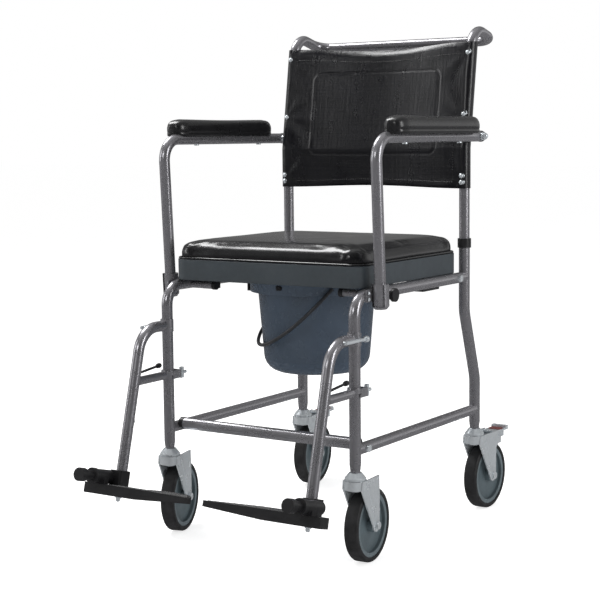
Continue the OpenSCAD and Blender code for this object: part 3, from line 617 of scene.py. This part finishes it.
def hems(z_low, z_high, front):
    """Stitch lines along both hems, and down the inner edge of each sleeve."""
    stitches = []
    length, pitch, radius = 0.0032, 0.0046, 0.00035

    def stitch(p, q):
        stitches.append(turned([(0, radius * 0.3), (length * 0.15, radius), (length * 0.85, radius),
                                (length, radius * 0.3)], p, Vector(q) - Vector(p), 6))

    def on_sheet(x, z):
        f = (z - z_low) / (z_high - z_low)
        return Vector((x, lean_y(z) - front + sling_depth(x, z, f) - 0.0004, z))

    for level in (z_high - 0.021, z_low + 0.012):
        x = -TRACK_X + 0.02
        while x < TRACK_X - 0.02:
            hollow = 0.5 + 0.5 * math.cos(math.pi * abs(x) / TRACK_X)
            drop = -0.0085 * hollow if level > 0.7 else 0.004 * hollow
            stitch(on_sheet(x, level + drop), on_sheet(x + length, level + drop))
            x += pitch
    for sx in (-1, 1):
        z = z_low + 0.014
        while z < z_high - 0.022:
            stitch(on_sheet(sx * (TRACK_X - 0.017), z), on_sheet(sx * (TRACK_X - 0.017), z + length))
            z += pitch
    verts, faces = merge(stitches)
    piece("backrest_stitching", verts, faces, "pad", "frame")


# ---------- arm pads ----------

def arm_pad(side, sign):
    """Moulded foam pad with bullnose ends, a parting groove and a cradle over the tube."""
    low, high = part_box(f"arm_pad_{side}")
    cx = (low.x + high.x) / 2
    half_w = (high.x - low.x) / 2
    y0, y1 = low.y, high.y
    base, top = low.z, high.z
    stations = 46
    verts, count = [], 0
    for i in range(stations + 1):
        f = i / stations
        f = 0.5 - 0.5 * math.cos(math.pi * f)
        y = y0 + (y1 - y0) * f
        near = min(y - y0, y1 - y)
        t = min(1, near / 0.030)
        plan = math.sqrt(max(0.0, 1 - (1 - t) ** 2.2))
        width = half_w * (0.30 + 0.70 * plan)
        bullnose = 1 - math.sqrt(max(0.0, 1 - (1 - min(1, near / 0.024)) ** 2))
        crown = top - (top - base) * 0.42 * bullnose
        crown -= 0.0012 * (1 - math.cos(2 * math.pi * f)) * 0.5
        groove = base + 0.0075
        half_top = width * 0.86
        tube = ARM_TUBE_R + 0.0002
        off = sign * ARM_X - cx
        cradle = [(off + tube * math.sin(math.radians(-62 + 124 * k / 8)),
                   ARM_Z + tube * math.cos(math.radians(-62 + 124 * k / 8))) for k in range(9)]
        section = [(-width * 0.90, base), (-width * 0.985, base + 0.0025),
                   (-width * 0.985, groove - 0.0012), (-width * 0.945, groove),
                   (-width * 0.99, groove + 0.0016), (-width, base + 0.013)]
        rise = crown - (base + 0.013)
        for k in range(1, 10):
            a = math.radians(90 * k / 9)
            section.append((-width + (width - half_top * 0.55) * (1 - math.cos(a)),
                            base + 0.013 + rise * 0.93 * math.sin(a)))
        section += [(-width * 0.22, crown - rise * 0.02), (0, crown)]
        mirrored = [(-x, z) for x, z in reversed(section[:-1])]
        lower = [(x, z) for x, z in reversed(cradle) if abs(x) < width * 0.86]
        lower = lower + [lower[-1]] * (9 - len(lower)) if lower else [(0.0, base)] * 9
        lower = [(x, max(z, base)) for x, z in lower]
        ring = section + mirrored + lower
        count = len(ring)
        verts += [(cx + x, y, z) for x, z in ring]
    faces = ring_faces(stations + 1, count)
    obj = piece(f"arm_pad_{side}_foam", verts, faces, "pad", f"armrest_{side}", 40)
    bm = bmesh.new()
    bm.from_mesh(obj.data)
    bmesh.ops.remove_doubles(bm, verts=bm.verts, dist=0.00002)
    bmesh.ops.recalc_face_normals(bm, faces=bm.faces)
    bm.to_mesh(obj.data)
    bm.free()
    smooth(obj, 40)
    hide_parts(f"arm_pad_{side}")


# ---------- small fittings ----------

def hanger_point(side_sign, drop):
    """A point on the hanger tube's axis, drop metres up from its lower end, and the way down."""
    end = Vector((side_sign * TRACK_X, -0.3543 + CENTRE_Y, 0.1456))
    along = Vector((0, -math.sin(HANGER_LEAN), -math.cos(HANGER_LEAN)))
    return end - along * drop, along


def footrest_fittings(side, sign):
    """Spring button of the height adjustment, and the bolt under the elbow."""
    back = Vector((0, math.cos(HANGER_LEAN), -math.sin(HANGER_LEAN)))
    point, _ = hanger_point(sign, 0.087)
    start = point + back * 0.0085
    button = turned([(0, 0.0035), (0.0022, 0.0035), (0.0032, 0.0029), (0.0037, 0.0016), (0.0038, 0.0002)],
                    start, back, 24)
    collar = turned([(0, 0.0056), (0.0014, 0.0056), (0.0019, 0.0050), (0.0019, 0.0036)], start, back, 24)
    verts, faces = merge([button, collar])
    piece(f"height_button_{side}", verts, faces, "zinc", f"footrest_{side}")
    end, along = hanger_point(sign, -0.0443)
    verts, faces = turned([(0, 0.0058), (0.0026, 0.0058), (0.0032, 0.0052), (0.0034, 0.0040),
                           (0.0072, 0.0038), (0.0090, 0.0028), (0.0096, 0.0010)], end, along, 24)
    piece(f"elbow_bolt_{side}", verts, faces, "zinc", f"footplate_post_{side}")


def screw_washers():
    """Cupped finishing washers under the screw heads that hold the sling."""
    parts = []
    for _, sign in SIDES:
        for z in SLING_SCREWS:
            tilt = LEAN if z > LEAN_START_Z else 0.0
            out = Vector((0, -math.cos(tilt), math.sin(tilt)))
            seat = Vector((sign * TRACK_X, lean_y(z), z)) + out * 0.0112
            parts.append(turned([(0, 0.0064), (0.0009, 0.0062), (0.0017, 0.0056), (0.0019, 0.0050),
                                 (0.0012, 0.0043)], seat, out, 28))
    verts, faces = merge(parts)
    piece("backrest_washers", verts, faces, "zinc", "frame")


def release_lever(side, sign):
    """Thin lever over the brace that frees the clamp, with a black grip beside the leg."""
    start = Vector((sign * TRACK_X, -0.297 + CENTRE_Y, 0.3095))
    end = Vector((sign * TRACK_X, -0.2445 + CENTRE_Y, 0.3150))
    along = (end - start).normalized()
    reach = (end - start).length
    rod = turned([(-0.004, 0.0010), (-0.003, 0.0021), (reach * 0.5, 0.0023), (reach - 0.006, 0.0021)],
                 start, along, 16)
    grip = turned([(reach - 0.0085, 0.0022), (reach - 0.0075, 0.0040), (reach - 0.003, 0.0047),
                   (reach + 0.001, 0.0040), (reach + 0.0026, 0.0016)], start, along, 20)
    verts, faces = merge([rod, grip])
    piece(f"release_lever_{side}", verts, faces, "black", f"footrest_{side}")


def footplate_point(sign, x, n, t):
    """A point in the hanger's frame: x from the centre line, n square to the tube, t down it."""
    across = Vector((0, -math.cos(HANGER_LEAN), math.sin(HANGER_LEAN)))
    end, along = hanger_point(sign, 0)
    return Vector((sign * x, 0, 0)) + Vector((0, end.y, end.z)) + across * n + along * t


def tread_ribs(side, sign):
    """Shallow grip ribs along the footplate's top, shorter towards its cut inner corner."""
    parts = []
    for k in range(9):
        n = -0.035 + 0.0088 * k
        x_out = 0.127 if n < 0.016 else 0.192
        x_in = 0.0165 + (0.040 - n) * 0.755
        stations = (x_in, x_in + 0.001, (x_in + x_out) / 2, x_out - 0.001, x_out)
        rows = []
        for x in stations:
            top = 0.0262 + 0.001 * max(0.0, (0.130 - x) / 0.1165)
            lift = 0.0002 if x in (stations[0], stations[-1]) else 0.0011
            rows.append([footplate_point(sign, x, n - 0.0017, top + 0.0006),
                         footplate_point(sign, x, n - 0.0008, top - lift),
                         footplate_point(sign, x, n + 0.0008, top - lift),
                         footplate_point(sign, x, n + 0.0017, top + 0.0006)])
        faces = ring_faces(len(rows), 4)
        if sign > 0:
            faces = [tuple(reversed(f)) for f in faces]
        parts.append(([v for row in rows for v in row], faces))
    verts, faces = merge(parts)
    piece(f"footplate_{side}_ribs", verts, faces, "black", f"footplate_{side}")


def rim_clip():
    """Small clip on the front of the pail's rim."""
    low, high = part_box("pail")
    x, front, z = -0.001, low.y, high.z - 0.0085
    points = []
    for depth, grow in ((-0.0015, 0.0), (0.0022, 0.0), (0.0030, -0.0008)):
        points += [Vector((x + px, front - depth, z + pz))
                   for px, pz in rounded_ring(0.0054 + grow, 0.0038 + grow, 0.0016, 4, 3)]
    count = len(points) // 3
    piece("pail_rim_clip", points, ring_faces(3, count), "black", "pail")


def brake_insert(side):
    """Reddish plastic insert in the brake pedal's tread."""
    x, y, yaw = CORNERS[f"rear_{side}"]
    place = Matrix.Translation((x, y, 0)) @ Matrix.Rotation(math.radians(yaw), 4, "Z")
    top = 0.139 + 0.007
    ring_points = []
    for z, grow in ((top - 0.0004, 0.0), (top + 0.0012, 0.0), (top + 0.0018, -0.0007)):
        ring_points += [place @ Vector((px, 0.086 + py, z))
                        for px, py in rounded_ring(0.0125 + grow, 0.0085 + grow, 0.003 + grow, 4, 3)]
    count = len(ring_points) // 3
    piece(f"brake_insert_{side}", ring_points, ring_faces(3, count), "red", f"brake_{side}")


def fork_details(corner):
    """Pressed stiffening ridge down each fork side."""
    x, y, yaw = CORNERS[corner]
    place = Matrix.Translation((x, y, 0)) @ Matrix.Rotation(math.radians(yaw), 4, "Z")
    parts = []
    face_x = 0.0185
    for sgn in (-1, 1):
        verts = []
        path = [(0.012, 0.138), (0.020, 0.120), (0.029, 0.098), (0.035, 0.082)]
        widths = [0.0045, 0.0050, 0.0042, 0.0026]
        for (py, pz), w in zip(path, widths):
            for dy, out in ((-w, -0.0004), (-w * 0.55, 0.0011), (w * 0.55, 0.0011), (w, -0.0004)):
                verts.append(place @ Vector((sgn * (face_x + out), py + dy, pz)))
        faces = ring_faces(len(path), 4)
        if sgn > 0:
            faces = [tuple(reversed(f)) for f in faces]
        parts.append((verts, faces))
    verts, faces = merge(parts)
    piece(f"fork_ridges_{corner}", verts, faces, "zinc", f"castor_{corner}")


# ---------- studio ----------

def studio_floor():
    """Plain floor that reaches past the picture's horizon."""
    half = 30
    mesh = bpy.data.meshes.new("studio_floor")
    mesh.from_pydata([(-half, -half, 0), (half, -half, 0), (half, half, 0), (-half, half, 0)], [],
                     [(0, 1, 2, 3)])
    floor = bpy.data.objects.new("studio_floor", mesh)
    mesh.materials.append(floor_paint())
    bpy.context.scene.collection.objects.link(floor)


def studio_world():
    """White backdrop for the camera, even fill light, and a shaped room for the reflections."""
    world = bpy.data.worlds.new("studio_world")
    bpy.context.scene.world = world
    world.use_nodes = True
    tree = world.node_tree
    link = tree.links.new

    def backdrop(strength):
        node = tree.nodes.new("ShaderNodeBackground")
        node.inputs["Color"].default_value = (1, 1, 1, 1)
        node.inputs["Strength"].default_value = strength
        return node

    fill = backdrop(0.36)
    seen = backdrop(1.0)
    mirrored = backdrop(1.0)
    # Reflections see pale walls beside and behind the chair, and a dark room behind the camera
    coords = tree.nodes.new("ShaderNodeTexCoord")
    split = tree.nodes.new("ShaderNodeSeparateXYZ")
    link(coords.outputs["Generated"], split.inputs[0])
    away = tree.nodes.new("ShaderNodeVectorMath")
    away.operation = "DOT_PRODUCT"
    away.inputs[1].default_value = (-math.sin(CAMERA_AZIMUTH), math.cos(CAMERA_AZIMUTH), 0)
    link(coords.outputs["Generated"], away.inputs[0])

    def ramped(value, stops):
        ramp = tree.nodes.new("ShaderNodeValToRGB")
        ramp.color_ramp.elements[0].position = stops[0][0]
        ramp.color_ramp.elements[1].position = stops[-1][0]
        for pos, _ in stops[1:-1]:
            ramp.color_ramp.elements.new(pos)
        for el, (_, level) in zip(ramp.color_ramp.elements, stops):
            el.color = (level, level, level, 1)
        link(value, ramp.inputs["Fac"])
        return ramp.outputs["Color"]

    unit = tree.nodes.new("ShaderNodeMapRange")
    unit.inputs["From Min"].default_value = -1
    link(away.outputs["Value"], unit.inputs["Value"])
    behind = ramped(unit.outputs["Result"],
                    [(0.28, 0.05), (0.5, 0.5), (0.72, 0.85), (0.9, 0.5), (0.99, 0.22)])
    low_band = ramped(split.outputs["Z"], [(0.0, 0.9), (0.15, 0.85), (0.45, 0.3), (0.8, 0.15)])
    overhead = ramped(split.outputs["Z"], [(0.45, 0.0), (0.7, 0.16), (0.95, 0.5)])

    def mixed(mode, a, b):
        node = tree.nodes.new("ShaderNodeMix")
        node.data_type = "RGBA"
        node.blend_type = mode
        node.inputs["Factor"].default_value = 1
        link(a, node.inputs["A"])
        link(b, node.inputs["B"])
        return node.outputs["Result"]

    link(mixed("ADD", mixed("MULTIPLY", behind, low_band), overhead), mirrored.inputs["Color"])
    path = tree.nodes.new("ShaderNodeLightPath")
    shiny = tree.nodes.new("ShaderNodeMixShader")
    link(path.outputs["Is Glossy Ray"], shiny.inputs["Fac"])
    link(fill.outputs[0], shiny.inputs[1])
    link(mirrored.outputs[0], shiny.inputs[2])
    mix = tree.nodes.new("ShaderNodeMixShader")
    link(path.outputs["Is Camera Ray"], mix.inputs["Fac"])
    link(shiny.outputs[0], mix.inputs[1])
    link(seen.outputs[0], mix.inputs[2])
    link(mix.outputs[0], tree.nodes["World Output"].inputs["Surface"])


def softbox(name, place, target, size, power):
    """A rectangular light, unseen by the camera."""
    data = bpy.data.lights.new(name, "AREA")
    data.shape = "RECTANGLE"
    data.size, data.size_y = size
    data.energy = power
    light = bpy.data.objects.new(name, data)
    light.location = place
    light.rotation_euler = (Vector(target) - Vector(place)).to_track_quat("-Z", "Y").to_euler()
    light.visible_camera = False
    bpy.context.scene.collection.objects.link(light)


def studio():
    studio_floor()
    studio_world()
    softbox("softbox_top", (-1.5, 0.15, 2.6), (0, 0.05, 0.5), (1.0, 1.5), 52)
    softbox("softbox_front", (-0.1, -3.1, 2.0), (0, 0.2, 0.8), (1.1, 0.8), 16)
    softbox("softbox_right", (3.2, 0.2, 1.4), (0, 0, 0.5), (0.8, 2.0), 34)
    softbox("softbox_left", (-2.8, -1.6, 1.5), (0, 0, 0.6), (0.6, 1.6), 12)


def camera():
    """The photograph's viewing angle: position, azimuth, elevation and a slight roll."""
    azimuth, elevation, roll = CAMERA_AZIMUTH, math.radians(6.218), math.radians(-0.606)
    back = Vector((math.sin(azimuth) * math.cos(elevation), -math.cos(azimuth) * math.cos(elevation),
                   math.sin(elevation)))
    right = Vector((math.cos(azimuth), math.sin(azimuth), 0))
    up = back.cross(right)
    x = right * math.cos(roll) + up * math.sin(roll)
    y = -right * math.sin(roll) + up * math.cos(roll)
    data = bpy.data.cameras.new("photo_camera")
    data.sensor_width = 36
    data.lens = 89.28
    cam = bpy.data.objects.new("photo_camera", data)
    cam.matrix_world = Matrix((
        (x.x, y.x, back.x, 1.4499),
        (x.y, y.y, back.y, -2.2978 + CENTRE_Y),
        (x.z, y.z, back.z, 0.7144),
        (0, 0, 0, 1),
    ))
    bpy.context.scene.collection.objects.link(cam)
    bpy.context.scene.camera = cam


paint_cad_nodes()
seat_cushion()
backrest_sling()
for side_name, side_sign in SIDES:
    arm_pad(side_name, side_sign)
    footrest_fittings(side_name, side_sign)
    release_lever(side_name, side_sign)
    tread_ribs(side_name, side_sign)
    brake_insert(side_name)
for corner_name in CORNERS:
    fork_details(corner_name)
rim_clip()
screw_washers()
studio()
camera()
bpy.context.scene.view_settings.view_transform = "Standard"
